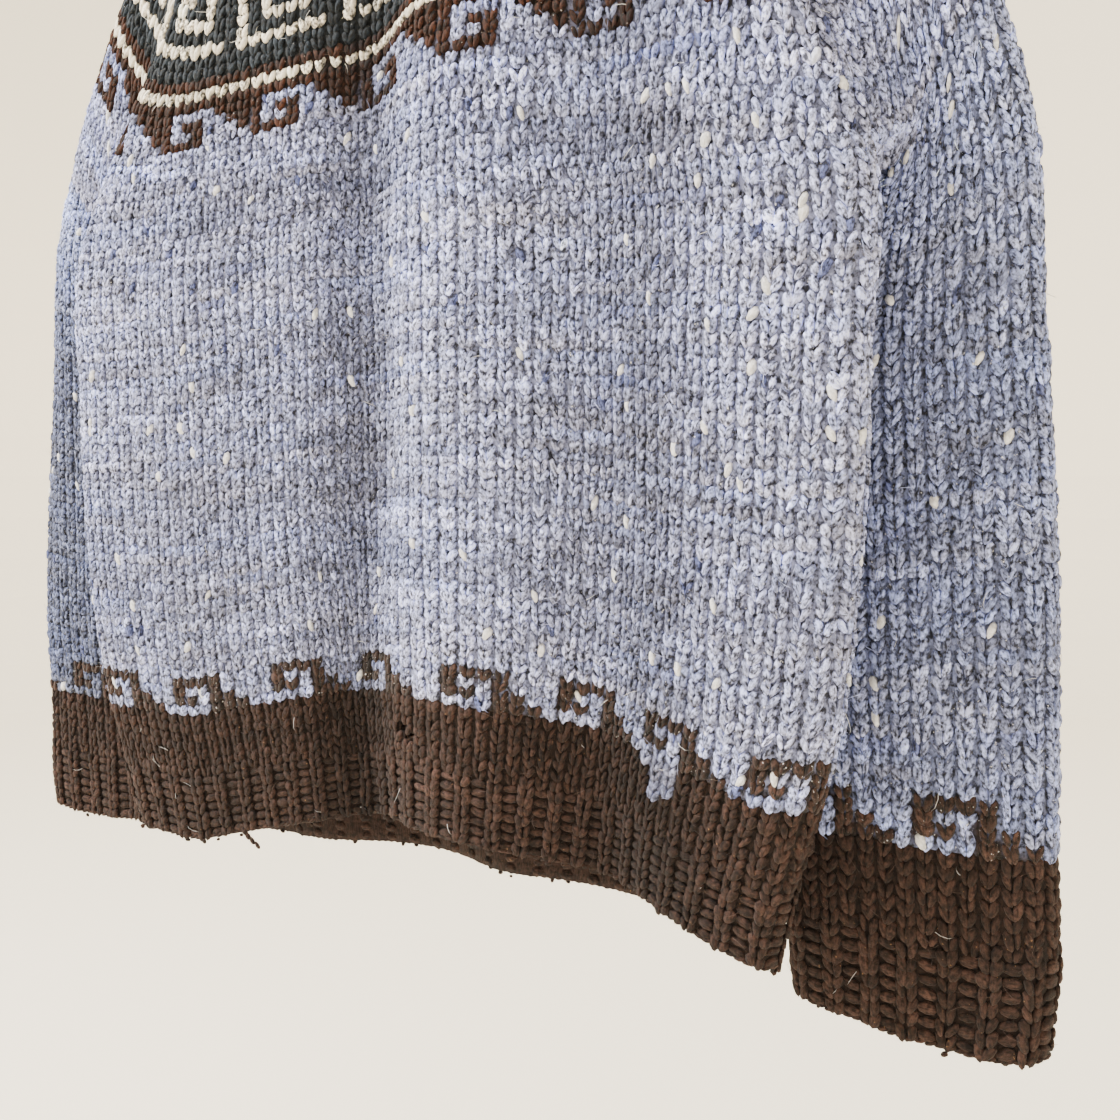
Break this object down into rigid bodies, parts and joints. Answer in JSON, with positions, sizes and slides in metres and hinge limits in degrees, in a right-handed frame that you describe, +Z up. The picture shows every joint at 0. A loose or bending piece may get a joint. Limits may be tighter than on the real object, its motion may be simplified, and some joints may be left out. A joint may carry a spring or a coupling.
{
  "type": "knit sweater on a hanger",
  "caption": "Bulky hand-knitted pullover with a patterned round yoke, ribbed hem and cuffs, hanging in soft folds from a plain one-piece hanger.",
  "frame": {"origin": "inside top of the hanger hook's bend, where a rail carries it", "axes": "+Z up, the front faces -Y, +X to the right seen from the front"},
  "size_m": [0.7677, 0.1009, 0.8149],
  "materials": {
    "tweed_knit": "thick stocking stitch in blue-grey tweed wool, matt and fuzzy",
    "brown_rib": "one by one rib in dark brown flecked wool",
    "yoke_knit": "stranded colourwork in brown, navy, cream and blue-grey wool",
    "hanger_wood": "plain varnished beech",
    "hanger_wire": "round steel wire"
  },
  "bodies": {
    "root": {"body_front": "tweed_knit", "body_back": "tweed_knit", "sleeve_left": "tweed_knit", "sleeve_right": "tweed_knit", "hem_band_front": "brown_rib", "hem_band_back": "brown_rib", "cuff_left": "brown_rib", "cuff_right": "brown_rib", "neckband": "brown_rib", "yoke_front": "yoke_knit", "yoke_back": "yoke_knit", "hanger_bar": "hanger_wood", "hanger_hook": "hanger_wire"}
  },
  "joints": []
}
